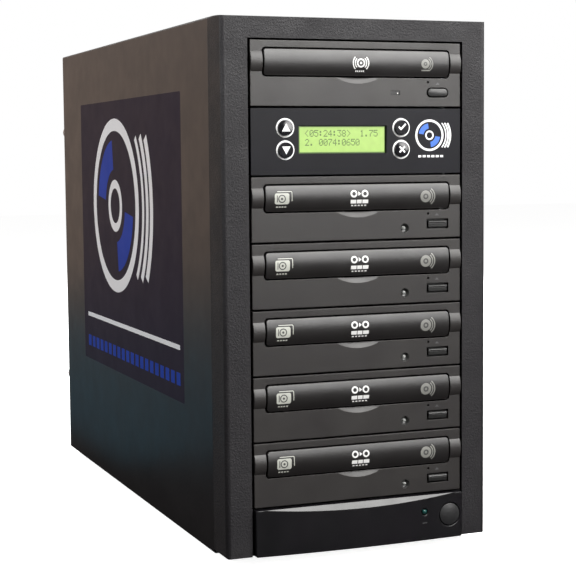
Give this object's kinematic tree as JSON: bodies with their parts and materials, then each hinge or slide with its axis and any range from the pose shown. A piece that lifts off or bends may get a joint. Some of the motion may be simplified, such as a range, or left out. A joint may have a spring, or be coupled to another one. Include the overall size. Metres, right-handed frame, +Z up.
{
  "type": "disc duplicator tower",
  "caption": "Upright steel tower that copies discs: stacked tray drives, a control panel with a lit display and keys, and a power button in a moulded front.",
  "frame": {"origin": "on the floor, under the centre of the tower's bounding box", "axes": "+X to the viewer's right, +Y from the front to the back, +Z up"},
  "size_m": [0.1856, 0.445, 0.3522],
  "materials": {
    "zinc_steel": "satin zinc-coated sheet",
    "black_paint": "smooth black paint",
    "screw_steel": "bright plated",
    "black_rubber": "matt",
    "grained_plastic": "fine leather grain",
    "dark_gloss_plastic": "semi-gloss",
    "bezel_plastic": "satin",
    "button_plastic": "satin",
    "lamp_plastic": "clear tinted",
    "gear_plastic": "natural",
    "tray_plastic": "satin",
    "display_plastic": "lit yellow-green",
    "board_green": "solder mask",
    "cable_grey": "flat ribbon",
    "fan_plastic": "satin"
  },
  "bodies": {
    "case": {"chassis_base": "zinc_steel", "chassis_top": "zinc_steel", "chassis_front": "zinc_steel", "chassis_back": "zinc_steel", "bay_cage": "zinc_steel", "top_cover": "black_paint", "feet": "black_rubber", "front_frame": "grained_plastic", "lower_panel": "dark_gloss_plastic", "power_lamp": "lamp_plastic", "drive_lamps": "lamp_plastic", "control_panel": "dark_gloss_plastic", "control_display": "display_plastic", "control_board": "board_green", "data_cables": "cable_grey", "supply_case": "zinc_steel", "mains_inlet": "button_plastic", "case_fan_frame": "fan_plastic", "reader_bezel": "bezel_plastic", "reader_shell": "zinc_steel", "burner_1_bezel": "bezel_plastic", "burner_1_shell": "zinc_steel", "burner_2_bezel": "bezel_plastic", "burner_2_shell": "zinc_steel", "burner_3_bezel": "bezel_plastic", "burner_3_shell": "zinc_steel", "burner_4_bezel": "bezel_plastic", "burner_4_shell": "zinc_steel", "burner_5_bezel": "bezel_plastic", "burner_5_shell": "zinc_steel"},
    "left_cover": {"left_panel": "black_paint", "thumbscrews_left": "screw_steel"},
    "right_cover": {"right_panel": "black_paint", "thumbscrews_right": "screw_steel"},
    "reader_tray_unit": {"reader_tray": "tray_plastic", "reader_door": "bezel_plastic"},
    "reader_eject": {"reader_eject_button": "button_plastic"},
    "burner_1_tray_unit": {"burner_1_tray": "tray_plastic", "burner_1_door": "bezel_plastic"},
    "burner_1_eject": {"burner_1_eject_button": "button_plastic"},
    "burner_2_tray_unit": {"burner_2_tray": "tray_plastic", "burner_2_door": "bezel_plastic"},
    "burner_2_eject": {"burner_2_eject_button": "button_plastic"},
    "burner_3_tray_unit": {"burner_3_tray": "tray_plastic", "burner_3_door": "bezel_plastic"},
    "burner_3_eject": {"burner_3_eject_button": "button_plastic"},
    "burner_4_tray_unit": {"burner_4_tray": "tray_plastic", "burner_4_door": "bezel_plastic"},
    "burner_4_eject": {"burner_4_eject_button": "button_plastic"},
    "burner_5_tray_unit": {"burner_5_tray": "tray_plastic", "burner_5_door": "bezel_plastic"},
    "burner_5_eject": {"burner_5_eject_button": "button_plastic"},
    "button_up": {"button_up": "button_plastic"},
    "button_down": {"button_down": "button_plastic"},
    "button_enter": {"button_enter": "button_plastic"},
    "button_cancel": {"button_cancel": "button_plastic"},
    "power_button": {"power_button": "button_plastic"},
    "reader_pinion": {"reader_loader_pinion": "gear_plastic"},
    "supply_switch": {"supply_switch": "button_plastic"},
    "case_fan_rotor": {"case_fan_rotor": "fan_plastic"}
  },
  "joints": [
    {"name": "left_cover_slide", "type": "slide", "parent": "case", "child": "left_cover", "axis": [0, 1, 0], "range_m": [0, 0.016]},
    {"name": "right_cover_slide", "type": "slide", "parent": "case", "child": "right_cover", "axis": [0, 1, 0], "range_m": [0, 0.016]},
    {"name": "reader_tray_slide", "type": "slide", "parent": "case", "child": "reader_tray_unit", "axis": [0, -1, 0], "range_m": [0, 0.132]},
    {"name": "reader_eject_press", "type": "slide", "parent": "case", "child": "reader_eject", "axis": [0, 1, 0], "range_m": [0, 0.0008], "stiffness_N_per_m": 900},
    {"name": "burner_1_tray_slide", "type": "slide", "parent": "case", "child": "burner_1_tray_unit", "axis": [0, -1, 0], "range_m": [0, 0.132]},
    {"name": "burner_1_eject_press", "type": "slide", "parent": "case", "child": "burner_1_eject", "axis": [0, 1, 0], "range_m": [0, 0.0008], "stiffness_N_per_m": 900},
    {"name": "burner_2_tray_slide", "type": "slide", "parent": "case", "child": "burner_2_tray_unit", "axis": [0, -1, 0], "range_m": [0, 0.132]},
    {"name": "burner_2_eject_press", "type": "slide", "parent": "case", "child": "burner_2_eject", "axis": [0, 1, 0], "range_m": [0, 0.0008], "stiffness_N_per_m": 900},
    {"name": "burner_3_tray_slide", "type": "slide", "parent": "case", "child": "burner_3_tray_unit", "axis": [0, -1, 0], "range_m": [0, 0.132]},
    {"name": "burner_3_eject_press", "type": "slide", "parent": "case", "child": "burner_3_eject", "axis": [0, 1, 0], "range_m": [0, 0.0008], "stiffness_N_per_m": 900},
    {"name": "burner_4_tray_slide", "type": "slide", "parent": "case", "child": "burner_4_tray_unit", "axis": [0, -1, 0], "range_m": [0, 0.132]},
    {"name": "burner_4_eject_press", "type": "slide", "parent": "case", "child": "burner_4_eject", "axis": [0, 1, 0], "range_m": [0, 0.0008], "stiffness_N_per_m": 900},
    {"name": "burner_5_tray_slide", "type": "slide", "parent": "case", "child": "burner_5_tray_unit", "axis": [0, -1, 0], "range_m": [0, 0.132]},
    {"name": "burner_5_eject_press", "type": "slide", "parent": "case", "child": "burner_5_eject", "axis": [0, 1, 0], "range_m": [0, 0.0008], "stiffness_N_per_m": 900},
    {"name": "button_up_press", "type": "slide", "parent": "case", "child": "button_up", "axis": [0, 1, 0], "range_m": [0, 0.0005], "stiffness_N_per_m": 1200},
    {"name": "button_down_press", "type": "slide", "parent": "case", "child": "button_down", "axis": [0, 1, 0], "range_m": [0, 0.0005], "stiffness_N_per_m": 1200},
    {"name": "button_enter_press", "type": "slide", "parent": "case", "child": "button_enter", "axis": [0, 1, 0], "range_m": [0, 0.0005], "stiffness_N_per_m": 1200},
    {"name": "button_cancel_press", "type": "slide", "parent": "case", "child": "button_cancel", "axis": [0, 1, 0], "range_m": [0, 0.0005], "stiffness_N_per_m": 1200},
    {"name": "power_button_press", "type": "slide", "parent": "case", "child": "power_button", "axis": [0, 1, 0], "range_m": [0, 0.002], "stiffness_N_per_m": 800},
    {"name": "reader_pinion_turn", "type": "hinge", "parent": "case", "child": "reader_pinion", "pos_m": [0.0445, -0.196, 0.3184], "axis": [0, 0, 1], "range_deg": [0, 565]},
    {"name": "supply_switch_rock", "type": "hinge", "parent": "case", "child": "supply_switch", "pos_m": [0.05, 0.2102, 0.3259], "axis": [1, 0, 0], "range_deg": [-16, 0]},
    {"name": "case_fan_spin", "type": "hinge", "parent": "case", "child": "case_fan_rotor", "pos_m": [0, 0.2, 0.2009], "axis": [0, 1, 0], "continuous": true}
  ],
  "couplings": [
    {"joint": "reader_pinion_turn", "follows": "reader_tray_slide", "rad_per_m": 74.074}
  ]
}
